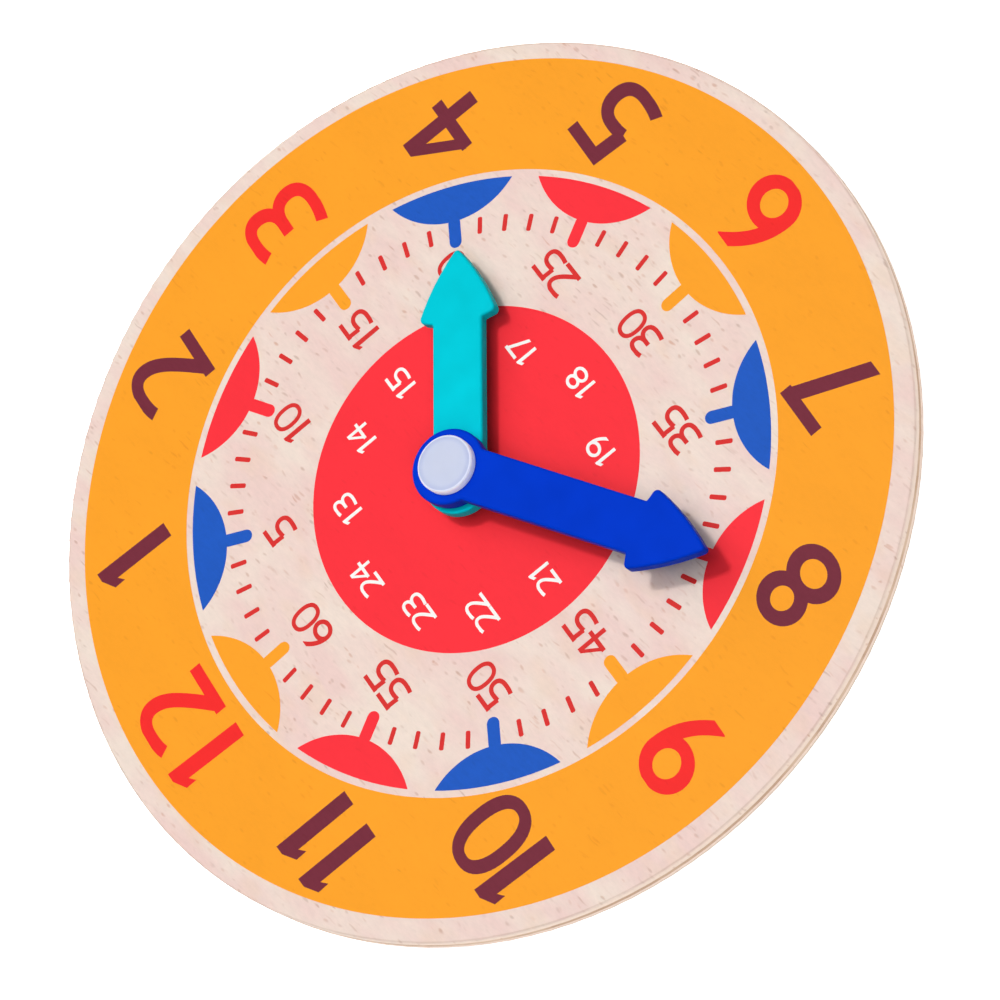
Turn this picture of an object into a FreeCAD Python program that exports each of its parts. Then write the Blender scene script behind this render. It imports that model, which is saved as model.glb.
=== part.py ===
import FreeCAD, Part
import math
import os

# Teaching clock: a round plywood dial board with two moulded hands that turn
# on one central pivot. Millimetres. The origin is where the pivot axis meets the
# board's back face, +Z comes out of the dial and +Y points at twelve o'clock.

# --- Driving dimensions: board -------------------------------------------------
board_radius = 107.5
face_ply_thickness = 1.9
core_ply_thickness = 1.2
board_edge_round = 0.6
board_drop = 0.7  # the pivot hole is drilled this far above the board's own centre

# --- Driving dimensions: pivot stack -------------------------------------------
post_radius = 4.0
post_flange_radius = 9.0
post_flange_thickness = 1.3
flange_set_back = 0.1
collar_radius = 5.8
collar_height = 4.45
washer_radius = 5.3
washer_thickness = 0.35
screw_shank_radius = 1.45
screw_head_radius = 2.8
screw_head_height = 0.8
screw_length_in_post = 9.0
screw_recess_width = 0.8
screw_recess_length = 3.2
screw_recess_depth = 0.5
pilot_extra_depth = 0.8
seat_radius = 5.4
seat_thickness = 0.5
cap_wall = 1.4
cap_roof = 0.5
cap_round = 0.4

# --- Driving dimensions: hands -------------------------------------------------
hand_width = 12.5
hand_thickness = 2.9
hand_edge_round = 0.7
boss_neck_round = 1.4
barb_half_width = 9.85
barb_round = 1.2
notch_round = 0.5
tip_round = 0.9
hour_boss_radius = 8.75
hour_boss_set_back = 1.0  # the boss's centre lies this far behind its bore
hour_tip_reach = 55.1
hour_head_length = 18.0
hour_barb_sweep = 1.1
hour_side_bulge = 0.9
minute_boss_radius = 9.05
minute_boss_set_back = 0.4
minute_tip_reach = 69.2
minute_head_length = 18.4
minute_barb_sweep = 1.0
minute_side_bulge = 0.8
minute_boss_drop = 1.0

# Where the hands point at rest, in degrees clockwise from twelve o'clock
hour_hand_angle = 124.2
minute_hand_angle = 239.7

# --- Clearances ----------------------------------------------------------------
post_hole_clearance = 0.05
flange_clearance = 0.1
running_clearance = 0.05
end_play = 0.05
head_clearance = 0.1
cap_gap = 0.1

# --- Heights worked out from the stack -----------------------------------------
board_thickness = 2 * face_ply_thickness + core_ply_thickness
core_bottom = face_ply_thickness
core_top = core_bottom + core_ply_thickness
dial_height = board_thickness
collar_top = dial_height + collar_height
lower_washer_top = collar_top + washer_thickness
hour_bottom = lower_washer_top + end_play
hour_top = hour_bottom + hand_thickness
middle_washer_bottom = hour_top + end_play
middle_washer_top = middle_washer_bottom + washer_thickness
minute_boss_bottom = middle_washer_top + end_play
minute_arm_bottom = minute_boss_bottom + minute_boss_drop
minute_top = minute_arm_bottom + hand_thickness
upper_washer_bottom = minute_top + end_play
post_top = upper_washer_bottom + washer_thickness
seat_top = post_top + seat_thickness
screw_head_top = seat_top + screw_head_height
cap_bottom = minute_top + cap_gap
cap_ceiling = screw_head_top + head_clearance
cap_top = cap_ceiling + cap_roof
flange_bottom = flange_set_back
flange_top = flange_bottom + post_flange_thickness

hand_bore_radius = post_radius + running_clearance
board_hole_radius = post_radius + post_hole_clearance
cap_radius = seat_radius + cap_wall
screw_tip_height = post_top - screw_length_in_post
pilot_bottom = screw_tip_height - pilot_extra_depth


def disc(radius, bottom, top, along=0):
    """A solid round disc or post about the pivot axis, or set along X from it."""
    return Part.makeCylinder(radius, top - bottom, FreeCAD.Vector(along, 0, bottom))


def ring(outer_radius, inner_radius, bottom, top):
    """A flat ring about the pivot axis."""
    return disc(outer_radius, bottom, top).cut(disc(inner_radius, bottom, top))


def ply_blank(bottom, top):
    """A round ply with the pivot's hole through it."""
    centre = FreeCAD.Vector(0, -board_drop, bottom)
    blank = Part.makeCylinder(board_radius, top - bottom, centre)
    return blank.cut(disc(board_hole_radius, bottom, top))


def is_rim(edge, radius, height):
    """True for the circular edge of that radius at that height."""
    box = edge.BoundBox
    on_level = abs(box.ZMin - height) < 1e-4 and abs(box.ZMax - height) < 1e-4
    round_edge = isinstance(edge.Curve, Part.Circle)
    return on_level and round_edge and abs(edge.Curve.Radius - radius) < 1e-4


def round_rim(shape, radius, height, fillet):
    """Round one circular rim of a turned piece."""
    rims = [edge for edge in shape.Edges if is_rim(edge, radius, height)]
    return shape.makeFillet(fillet, rims)


# --- Board ---------------------------------------------------------------------
def make_front_ply():
    """The ply that carries the printed dial, with its outer edge sanded round."""
    ply = ply_blank(core_top, dial_height)
    return round_rim(ply, board_radius, dial_height, board_edge_round)


def make_core_ply():
    """The darker cross-grained ply in the middle."""
    return ply_blank(core_bottom, core_top)


def make_back_ply():
    """The back ply, counterbored so the pivot's flange lies below the surface."""
    ply = ply_blank(0, core_bottom)
    ply = round_rim(ply, board_radius, 0, board_edge_round)
    return ply.cut(disc(post_flange_radius + flange_clearance, 0, flange_top))


# --- Pivot ---------------------------------------------------------------------
def make_pivot_post():
    """A flanged post pushed through the board from the back, bored for the screw."""
    post = disc(post_flange_radius, flange_bottom, flange_top)
    post = post.fuse(disc(post_radius, flange_bottom, post_top)).removeSplitter()
    return post.cut(disc(screw_shank_radius, pilot_bottom, post_top))


def make_spacer_collar():
    """The collar pressed on the post; it clamps the board and lifts the hands."""
    return ring(collar_radius, post_radius, dial_height, collar_top)


def make_washer(bottom):
    """A thin friction washer, one on each side of each hand."""
    return ring(washer_radius, hand_bore_radius, bottom, bottom + washer_thickness)


def make_retaining_screw():
    """A flat-headed self-tapping screw down the middle of the post."""
    screw = disc(screw_head_radius, seat_top, screw_head_top)
    screw = screw.fuse(disc(screw_shank_radius, screw_tip_height, seat_top)).removeSplitter()
    for length, width in ((screw_recess_length, screw_recess_width),
                          (screw_recess_width, screw_recess_length)):
        corner = FreeCAD.Vector(-length / 2, -width / 2, screw_head_top - screw_recess_depth)
        screw = screw.cut(Part.makeBox(length, width, screw_recess_depth, corner))
    return screw


def make_cap_seat():
    """The disc under the screw's head that keeps the hands on and holds the cap."""
    return ring(seat_radius, screw_shank_radius, post_top, seat_top)


def make_hub_cap():
    """The low round cap that hides the screw."""
    cap = disc(cap_radius, cap_bottom, cap_top)
    cap = round_rim(cap, cap_radius, cap_top, cap_round)
    return cap.cut(disc(seat_radius, cap_bottom, cap_ceiling))


# --- Hands ---------------------------------------------------------------------
def arrow_face(tip_reach, head_length, barb_sweep, side_bulge):
    """The flat outline of a hand's bar and arrowhead, pointing along +X."""
    half_width = hand_width / 2
    notch_reach = tip_reach - head_length
    barb_reach = notch_reach + barb_sweep
    side_length = math.hypot(tip_reach - barb_reach, barb_half_width)
    bulge_along = side_bulge * barb_half_width / side_length
    bulge_out = side_bulge * (tip_reach - barb_reach) / side_length
    mid_reach = (barb_reach + tip_reach) / 2 + bulge_along
    mid_out = barb_half_width / 2 + bulge_out

    def point(along, across):
        return FreeCAD.Vector(along, across, 0)

    tip = point(tip_reach, 0)
    corners = [point(0, half_width), point(notch_reach, half_width),
               point(barb_reach, barb_half_width)]
    mirrored = [point(corner.x, -corner.y) for corner in reversed(corners)]
    edges = [Part.makeLine(a, b) for a, b in zip(corners, corners[1:])]
    edges.append(Part.Arc(corners[-1], point(mid_reach, mid_out), tip).toShape())
    edges.append(Part.Arc(tip, point(mid_reach, -mid_out), mirrored[0]).toShape())
    edges += [Part.makeLine(a, b) for a, b in zip(mirrored, mirrored[1:] + corners[:1])]
    return Part.Face(Part.Wire(edges))


def upright_edges_at(shape, along, across):
    """The two upright edges that mirror each other about the hand's centreline."""
    found = []
    for edge in shape.Edges:
        box = edge.BoundBox
        upright = box.ZLength > hand_thickness / 2 and box.XLength < 1e-4 and box.YLength < 1e-4
        if upright and math.hypot(box.Center.x - along, abs(box.Center.y) - across) < 0.01:
            found.append(edge)
    return found


def make_hand_plate(boss_radius, boss_set_back, tip_reach, head_length, barb_sweep, side_bulge):
    """Boss, bar and arrowhead as one plate of even thickness, corners rounded."""
    half_width = hand_width / 2
    notch_reach = tip_reach - head_length
    neck_reach = math.sqrt(boss_radius ** 2 - half_width ** 2) - boss_set_back
    face = arrow_face(tip_reach, head_length, barb_sweep, side_bulge)
    plate = face.extrude(FreeCAD.Vector(0, 0, hand_thickness))
    boss = disc(boss_radius, 0, hand_thickness, -boss_set_back)
    plate = plate.fuse(boss).removeSplitter()
    rounds = [(neck_reach, half_width, boss_neck_round),
              (notch_reach, half_width, notch_round),
              (notch_reach + barb_sweep, barb_half_width, barb_round),
              (tip_reach, 0, tip_round)]
    for along, across, radius in rounds:
        plate = plate.makeFillet(radius, upright_edges_at(plate, along, across))
    top_edges = [edge for edge in plate.Edges
                 if abs(edge.BoundBox.ZMin - hand_thickness) < 1e-4]
    return plate.makeFillet(hand_edge_round, top_edges)


def set_hand(plate, boss_drop, bottom, clock_angle):
    """Bore a hand through bar and boss, then put it at its height and angle."""
    hand = plate.cut(disc(hand_bore_radius, -boss_drop, hand_thickness))
    hand.translate(FreeCAD.Vector(0, 0, bottom + boss_drop))
    hand.rotate(FreeCAD.Vector(0, 0, 0), FreeCAD.Vector(0, 0, 1), 90 - clock_angle)
    return hand


def make_hour_hand():
    """The short hand, next to the dial."""
    plate = make_hand_plate(hour_boss_radius, hour_boss_set_back, hour_tip_reach,
                            hour_head_length, hour_barb_sweep, hour_side_bulge)
    return set_hand(plate, 0, hour_bottom, hour_hand_angle)


def make_minute_hand():
    """The long hand; its boss stands lower than its bar to clear the hour hand."""
    plate = make_hand_plate(minute_boss_radius, minute_boss_set_back, minute_tip_reach,
                            minute_head_length, minute_barb_sweep, minute_side_bulge)
    foot = disc(minute_boss_radius, -minute_boss_drop, 0, -minute_boss_set_back)
    plate = plate.fuse(foot).removeSplitter()
    return set_hand(plate, minute_boss_drop, minute_boss_bottom, minute_hand_angle)


pieces = {
    "front_ply": make_front_ply(),
    "core_ply": make_core_ply(),
    "back_ply": make_back_ply(),
    "pivot_post": make_pivot_post(),
    "spacer_collar": make_spacer_collar(),
    "lower_washer": make_washer(collar_top),
    "hour_hand": make_hour_hand(),
    "middle_washer": make_washer(middle_washer_bottom),
    "minute_hand": make_minute_hand(),
    "upper_washer": make_washer(upper_washer_bottom),
    "cap_seat": make_cap_seat(),
    "retaining_screw": make_retaining_screw(),
    "hub_cap": make_hub_cap(),
}

os.makedirs("parts", exist_ok=True)
for name, shape in pieces.items():
    shape.exportStep(f"parts/{name}.step")
    print(f"{name}: {len(shape.Solids)} solid, {shape.Volume:.1f} mm3, valid {shape.isValid()}")
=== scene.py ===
import math
import bpy
from mathutils import Matrix, Quaternion, Vector, geometry


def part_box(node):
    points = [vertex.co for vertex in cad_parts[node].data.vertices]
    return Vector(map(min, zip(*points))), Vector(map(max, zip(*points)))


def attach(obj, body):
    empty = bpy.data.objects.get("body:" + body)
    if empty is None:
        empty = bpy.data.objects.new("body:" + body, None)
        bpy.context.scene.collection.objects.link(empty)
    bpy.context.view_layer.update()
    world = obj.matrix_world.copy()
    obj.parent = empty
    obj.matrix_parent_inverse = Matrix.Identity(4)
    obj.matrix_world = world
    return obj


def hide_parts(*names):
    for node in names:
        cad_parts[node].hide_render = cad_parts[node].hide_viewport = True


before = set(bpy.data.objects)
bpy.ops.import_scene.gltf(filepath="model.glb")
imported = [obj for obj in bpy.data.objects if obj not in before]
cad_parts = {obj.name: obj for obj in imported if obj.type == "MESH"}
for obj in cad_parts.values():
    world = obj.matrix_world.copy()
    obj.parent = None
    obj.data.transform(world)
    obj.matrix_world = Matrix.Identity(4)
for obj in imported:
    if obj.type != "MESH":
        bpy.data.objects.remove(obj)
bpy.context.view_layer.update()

scene = bpy.context.scene
mm = 0.001
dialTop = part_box("front_ply")[1].z
boardWidth = 2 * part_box("core_ply")[1].x
print(f"frame: {len(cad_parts)} nodes, dial {boardWidth / mm:.0f} mm across at {dialTop / mm:.2f} mm")


def linear(code, factor=1.0):  # sRGB hex to the linear RGBA that Blender's sockets take
    parts = [int(code[i:i + 2], 16) / 255 for i in (0, 2, 4)]
    light = [c / 12.92 if c <= 0.04045 else ((c + 0.055) / 1.055) ** 2.4 for c in parts]
    return tuple(min(1.0, c * factor) for c in light) + (1.0,)


# An input takes a value, a socket, or a node, which then gives its first output in use
def addNode(tree, kind, settings=None, inputs=None):
    node = tree.nodes.new(kind)
    for key, value in (settings or {}).items():
        setattr(node, key, value)
    for key, value in (inputs or {}).items():
        if isinstance(key, int):
            socket = node.inputs[key]
        else:
            socket = next(s for s in node.inputs if s.name == key and s.enabled)
        if isinstance(value, bpy.types.Node):
            value = next(s for s in value.outputs if s.enabled)
        if isinstance(value, bpy.types.NodeSocket):
            tree.links.new(value, socket)
        else:
            socket.default_value = value
    return node


# settings that many nodes share
asColour = {"data_type": "RGBA"}
multiply = {"operation": "MULTIPLY"}
multiplyAdd = {"operation": "MULTIPLY_ADD"}
subtract = {"operation": "SUBTRACT"}
softStep = {"interpolation_type": "SMOOTHSTEP"}


def newMaterial(name):  # an empty tree to build one finish in
    material = bpy.data.materials.new(name)
    material.use_nodes = True
    material.node_tree.nodes.clear()
    return material, material.node_tree


def finished(material, relief, depth, inputs):  # what every finish ends with, its relief so many mm deep
    tree = material.node_tree
    if depth:
        inputs["Normal"] = addNode(tree, "ShaderNodeBump", inputs={"Height": relief, "Distance": depth * mm})
    shader = addNode(tree, "ShaderNodeBsdfPrincipled", inputs=inputs)
    addNode(tree, "ShaderNodeOutputMaterial", inputs={"Surface": shader})
    return material


def addPiece(name, verts, faces, material):  # verts in mm, closed and outward
    mesh = bpy.data.meshes.new(name)
    mesh.from_pydata([Vector(v) * mm for v in verts], [], faces)
    mesh.materials.append(material)
    piece = bpy.data.objects.new(name, mesh)
    scene.collection.objects.link(piece)
    return piece


def baked(piece):  # swaps a piece for the plain mesh that its modifiers make
    shown = piece.evaluated_get(bpy.context.evaluated_depsgraph_get())
    mesh = bpy.data.meshes.new_from_object(shown)
    piece.modifiers.clear()
    piece.data = mesh
    mesh.name = piece.name


def smoothed(piece, sharpAngle):  # rounds shade smooth and the flats beside them stay flat
    piece.data.shade_smooth()
    piece.data.set_sharp_from_angle(angle=math.radians(sharpAngle))
    weigh = piece.modifiers.new("flats", "WEIGHTED_NORMAL")
    weigh.weight = 100
    weigh.keep_sharp = True
    baked(piece)


beech = {
    "grainAngle": 9,  # degrees the grain climbs to the right of level
    "fleckCell": (3.6, 1.3, 3.0),  # mm along, across and into the wood, with one ray fleck in each
    "fleckSize": 0.34,  # share of its cell that a fleck reaches, about 2 mm end to end
    "fleckRarity": 2.0,  # the higher it is, the fewer of them are dark
    "streakCell": (8.0, 1.1, 3.0),  # mm, with one long thin streak in each
    "streakSize": 0.26,
    "streakRarity": 3.0,
    "heart": 0.3,  # share of a mark's size that is fully dark
    "waveSize": (4, 4, 4),  # mm, waves that push the marks off their grid
    "wander": (0.9, 1.1, 0.4),  # cells they are pushed by, so that no two lie alike
    "mottleSize": (2.2, 0.8, 2.0),  # mm, fine cloudy figure between the flecks
    "cloudSize": (26, 11, 12),  # mm, slow change from cream to pink
    "warmSize": (12, 6, 8),  # mm, patches of orange
    "warmFrom": 0.6,  # only what is above this in their mask shows
    "warmStrength": 0.3,
    "mottle": 0.035,  # share by which the fine figure lightens and darkens bare wood
    "fleck": 0.6,  # how strongly the flecks mark it
    "pale": "EDDBCE",
    "pink": "EBCDC5",
    "warm": "E9CAB2",
    "fleckGrey": "C9BDB6",  # flecks darken what they lie on, so white would leave no mark
    "fleckTan": "DDB193",
    "edgePale": "EBD5C5",  # long grain seen on the rim
    "rimSlope": (0.6, 0.2),  # how level the wood is where the face ends and the rim begins
    "arris": "C9A88F",  # the sanded corners, where the surface tilts, are drawn a little darker
    "arrisStrength": 0.25,
    "arrisSlope": (0.78, 0.17),  # how level it is there, 1 being flat, and the spread
    "paintedUnderShade": "A79C94",  # painted shadow, darker still, on the corner that it stands on
    "paintedUnderShadeStrength": 0.8,
    "paintedUnderShadeSlope": (-0.5, 0.42),  # below 0 it faces down
    "roughness": (0.5, 0.62),
    "specular": 0.25,
    "relief": 0.02,  # mm that a fleck is sunk
    "mottleRelief": 0.25,  # share of that for the fine figure
}


def grainSpace(tree, size):  # Object coordinates turned along the grain, in steps of one feature
    place = addNode(tree, "ShaderNodeTexCoord").outputs["Object"]
    return addNode(tree, "ShaderNodeMapping", {"vector_type": "TEXTURE"}, {
        "Vector": place,
        "Rotation": (0, 0, math.radians(beech["grainAngle"])),
        "Scale": [s * mm for s in size]})


def beechFigure(tree):  # masks from 0 to 1 for each layer of the wood's figure
    waves = addNode(tree, "ShaderNodeTexNoise", inputs={
        "Vector": grainSpace(tree, beech["waveSize"]), "Scale": 1, "Detail": 1})
    marks = []
    for kind in ("fleck", "streak"):
        size = beech[kind + "Size"]
        cells = addNode(tree, "ShaderNodeVectorMath", multiplyAdd, {
            0: waves.outputs["Color"], 1: beech["wander"], 2: grainSpace(tree, beech[kind + "Cell"])})
        spots = addNode(tree, "ShaderNodeTexVoronoi", inputs={"Vector": cells, "Scale": 1, "Randomness": 1})
        shape = addNode(tree, "ShaderNodeMapRange", softStep, {
            "Value": spots, "From Min": size, "From Max": size * beech["heart"]})
        chance = addNode(tree, "ShaderNodeSeparateColor", inputs={"Color": spots.outputs["Color"]})
        strength = addNode(tree, "ShaderNodeMath", {"operation": "POWER"}, {
            0: chance.outputs["Red"], 1: beech[kind + "Rarity"]})
        marks.append(addNode(tree, "ShaderNodeMath", multiply, {0: shape, 1: strength}))
    fleck = addNode(tree, "ShaderNodeMath", {"operation": "MAXIMUM"}, {0: marks[0], 1: marks[1]})
    figure = {"fleck": fleck, "tint": chance.outputs["Green"]}
    for layer, detail, spread in (("mottle", 3, 0.2), ("cloud", 2, 0.14), ("warm", 1, 0.2)):
        noise = addNode(tree, "ShaderNodeTexNoise", inputs={
            "Vector": grainSpace(tree, beech[layer + "Size"]),
            "Scale": 1, "Detail": detail, "Roughness": 0.6})
        figure[layer] = addNode(tree, "ShaderNodeMapRange", inputs={
            "Value": noise, "From Min": 0.5 - spread, "From Max": 0.5 + spread})
    return figure


def figured(tree, figure, colour, mottle, fleck):  # lays the figure over a colour, each layer so strong
    tone = addNode(tree, "ShaderNodeMapRange", inputs={
        "Value": figure["mottle"], "To Min": 1 - mottle, "To Max": 1 + mottle})
    toned = addNode(tree, "ShaderNodeMix", {**asColour, "blend_type": "MULTIPLY"}, {
        "Factor": 1, "A": colour, "B": tone})
    tint = addNode(tree, "ShaderNodeMix", asColour, {
        "Factor": figure["tint"],
        "A": linear(beech["fleckGrey"]), "B": linear(beech["fleckTan"])})
    amount = addNode(tree, "ShaderNodeMath", multiply, {0: figure["fleck"], 1: fleck})
    return addNode(tree, "ShaderNodeMix", {**asColour, "blend_type": "MULTIPLY"}, {
        "Factor": amount, "A": toned, "B": tint})


glueLine = {"height": 0.85, "width": 0.22, "colour": "A08C78", "strength": 0.35}  # mm, in the back ply


# Beech veneer, rotary cut, sanded, thin matt lacquer: pale pink-cream with short soft flecks
def beechVeneer(name, line=None):
    material, tree = newMaterial(name)
    figure = beechFigure(tree)
    cream = addNode(tree, "ShaderNodeMix", asColour, {
        "Factor": figure["cloud"], "A": linear(beech["pale"]), "B": linear(beech["pink"])})
    warmAmount = addNode(tree, "ShaderNodeMapRange", inputs={
        "Value": figure["warm"], "From Min": beech["warmFrom"], "To Max": beech["warmStrength"]})
    face = addNode(tree, "ShaderNodeMix", asColour, {
        "Factor": warmAmount, "A": cream, "B": linear(beech["warm"])})
    facing = addNode(tree, "ShaderNodeSeparateXYZ", inputs={
        0: addNode(tree, "ShaderNodeNewGeometry").outputs["Normal"]}).outputs["Z"]
    level = addNode(tree, "ShaderNodeMath", {"operation": "ABSOLUTE"}, {0: facing})
    onRim = addNode(tree, "ShaderNodeMapRange", inputs={
        "Value": level, "From Min": beech["rimSlope"][0], "From Max": beech["rimSlope"][1]})
    colour = addNode(tree, "ShaderNodeMix", asColour, {
        "Factor": onRim, "A": face, "B": linear(beech["edgePale"])})
    # the tilted sanded corners drawn darker, and painted shadow on the corner that faces down
    for cornerDarkening, slope in (("arris", level), ("paintedUnderShade", facing)):
        middle, spread = beech[cornerDarkening + "Slope"]
        there = addNode(tree, "ShaderNodeMath", {"operation": "COMPARE"}, {0: slope, 1: middle, 2: spread})
        amount = addNode(tree, "ShaderNodeMath", multiply, {0: there, 1: beech[cornerDarkening + "Strength"]})
        colour = addNode(tree, "ShaderNodeMix", asColour, {
            "Factor": amount, "A": colour, "B": linear(beech[cornerDarkening])})
    colour = figured(tree, figure, colour, beech["mottle"], beech["fleck"])
    if line:  # a thin dark line of glue that shows on the rim
        height = addNode(tree, "ShaderNodeSeparateXYZ", inputs={
            0: addNode(tree, "ShaderNodeTexCoord").outputs["Object"]})
        away = addNode(tree, "ShaderNodeMath", subtract, {0: height.outputs["Z"], 1: line["height"] * mm})
        near = addNode(tree, "ShaderNodeMath", {"operation": "ABSOLUTE"}, {0: away})
        seam = addNode(tree, "ShaderNodeMapRange", softStep, {
            "Value": near, "From Min": line["width"] * mm, "From Max": 0, "To Max": line["strength"]})
        onEdge = addNode(tree, "ShaderNodeMath", multiply, {0: seam, 1: onRim})
        colour = addNode(tree, "ShaderNodeMix", asColour, {
            "Factor": onEdge, "A": colour, "B": linear(line["colour"])})
    rough = addNode(tree, "ShaderNodeMapRange", inputs={
        "Value": figure["mottle"], "To Min": beech["roughness"][0], "To Max": beech["roughness"][1]})
    pores = addNode(tree, "ShaderNodeMath", multiply, {0: figure["fleck"], 1: -1})
    relief = addNode(tree, "ShaderNodeMath", multiplyAdd, {
        0: figure["mottle"], 1: beech["mottleRelief"], 2: pores})
    return finished(material, relief, beech["relief"], {
        "Base Color": colour, "Roughness": rough, "IOR": 1.5, "Specular IOR Level": beech["specular"]})


coreEnd = {
    "brown": "C4A085", "light": "D6B89E", "contrast": (0.8, 1.15), "roughness": 0.7, "specular": 0.2,
    "poreSize": (0.5, 0.5, 1.2), "poreDepth": 0.03,  # mm, drawn coarse to show
    "streakSize": (9, 9, 9), "streak": (0.42, 0.64),  # mm, and where in the noise one starts and is full
}


# Core veneer laid across the faces: its cut end shows on the rim as a darker, porous brown line
def coreVeneer():
    material, tree = newMaterial("beechCoreEndGrain")
    pores = addNode(tree, "ShaderNodeTexNoise", inputs={
        "Vector": grainSpace(tree, coreEnd["poreSize"]), "Scale": 1, "Detail": 2})
    streaks = addNode(tree, "ShaderNodeTexNoise", inputs={
        "Vector": grainSpace(tree, coreEnd["streakSize"]), "Scale": 1, "Detail": 3})
    dark, pale = (linear(coreEnd["brown"], factor) for factor in coreEnd["contrast"])
    speckled = addNode(tree, "ShaderNodeMix", asColour, {"Factor": pores, "A": dark, "B": pale})
    onStreak = addNode(tree, "ShaderNodeMapRange", inputs={
        "Value": streaks, "From Min": coreEnd["streak"][0], "From Max": coreEnd["streak"][1]})
    colour = addNode(tree, "ShaderNodeMix", asColour, {
        "Factor": onStreak, "A": speckled, "B": linear(coreEnd["light"])})
    return finished(material, pores, coreEnd["poreDepth"], {
        "Base Color": colour, "Roughness": coreEnd["roughness"], "Specular IOR Level": coreEnd["specular"]})


inkCoat = {"unevenness": 0.015, "roughness": 0.5, "specular": 0.1,
           "peelSize": 0.8, "peelDepth": 0.004}  # mm, the coat's faint orange peel


# Screen ink on lacquered beech: even and satin, with the wood's figure showing through faintly
def screenInk(name, code, mottle, fleck):
    material, tree = newMaterial(name)
    figure = beechFigure(tree)
    base = addNode(tree, "ShaderNodeMix", asColour, {
        "Factor": figure["cloud"], "A": linear(code, 1 - inkCoat["unevenness"]),
        "B": linear(code, 1 + inkCoat["unevenness"])})
    shownFleck = addNode(tree, "ShaderNodeMath", multiply, {0: figure["fleck"], 1: figure["warm"]})
    colour = figured(tree, {**figure, "fleck": shownFleck}, base, mottle, fleck)
    place = addNode(tree, "ShaderNodeTexCoord").outputs["Object"]
    peel = addNode(tree, "ShaderNodeTexNoise", inputs={
        "Vector": place, "Scale": 1 / (inkCoat["peelSize"] * mm), "Detail": 1})
    return finished(material, peel, inkCoat["peelDepth"], {
        "Base Color": colour, "Roughness": inkCoat["roughness"], "IOR": 1.5,
        "Specular IOR Level": inkCoat["specular"]})


moulding = {
    "shades": (0.96, 1.06),  # what its colour is multiplied by, darkest and palest
    "roughness": 0.35, "roughSpread": (-0.05, 0.07), "specular": 0.015,
    "flowSize": 9, "grainSize": 0.35, "grainDepth": 0.006,  # mm, the mould's grain, drawn coarse
}


# Injection-moulded ABS, satin: one strong even colour with a soft highlight on the rounds
def mouldedAbs(name, code, roughness=moulding["roughness"]):
    material, tree = newMaterial(name)
    place = addNode(tree, "ShaderNodeTexCoord").outputs["Object"]
    cloud = addNode(tree, "ShaderNodeTexNoise", inputs={
        "Vector": place, "Scale": 1 / (moulding["flowSize"] * mm), "Detail": 2})
    flow = addNode(tree, "ShaderNodeMapRange", inputs={"Value": cloud, "From Min": 0.3, "From Max": 0.7})
    colour = addNode(tree, "ShaderNodeMix", asColour, {
        "Factor": flow, "A": linear(code, moulding["shades"][0]),
        "B": linear(code, moulding["shades"][1])})
    smoothest, roughest = (roughness + spread for spread in moulding["roughSpread"])
    rough = addNode(tree, "ShaderNodeMapRange", inputs={
        "Value": cloud, "To Min": smoothest, "To Max": roughest})
    grain = addNode(tree, "ShaderNodeTexNoise", inputs={
        "Vector": place, "Scale": 1 / (moulding["grainSize"] * mm), "Detail": 2})
    return finished(material, grain, moulding["grainDepth"], {
        "Base Color": colour, "Roughness": rough, "IOR": 1.54, "Specular IOR Level": moulding["specular"]})


capFinish = {
    # painted light in the cap's colour: a darker painted shade ring inside the top's edge, a paler painted
    # highlight ring at the edge and a paler painted wall
    "top": "CDD3E9", "paintedShade": "BFC7E3", "paintedHighlight": "E4E8FF", "paintedLitWall": "F6F8FF",
    "paintedGlowColour": "E7EFFF", "paintedGlow": 0.16,  # painted glow on the wall, in place of light that comes through it
    "paintedShadeStart": 0.8,  # share of its radius where the painted shade ring begins
    "paintedShadeRadius": 6.2, "paintedHighlightRadius": 6.5,  # mm
    "wallSlope": (0.7, 0.2),  # how level it is where the top ends and the wall begins
    "cloudSize": 5, "shades": (0.96, 1.04),  # mm, and what the top's colour is multiplied by
    "depth": 0.9, "translucency": 0.8,  # mm that light spreads in it, and the share that does
    "roughness": 0.35, "specular": 0.15, "grainDepth": 0.005,
}
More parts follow.
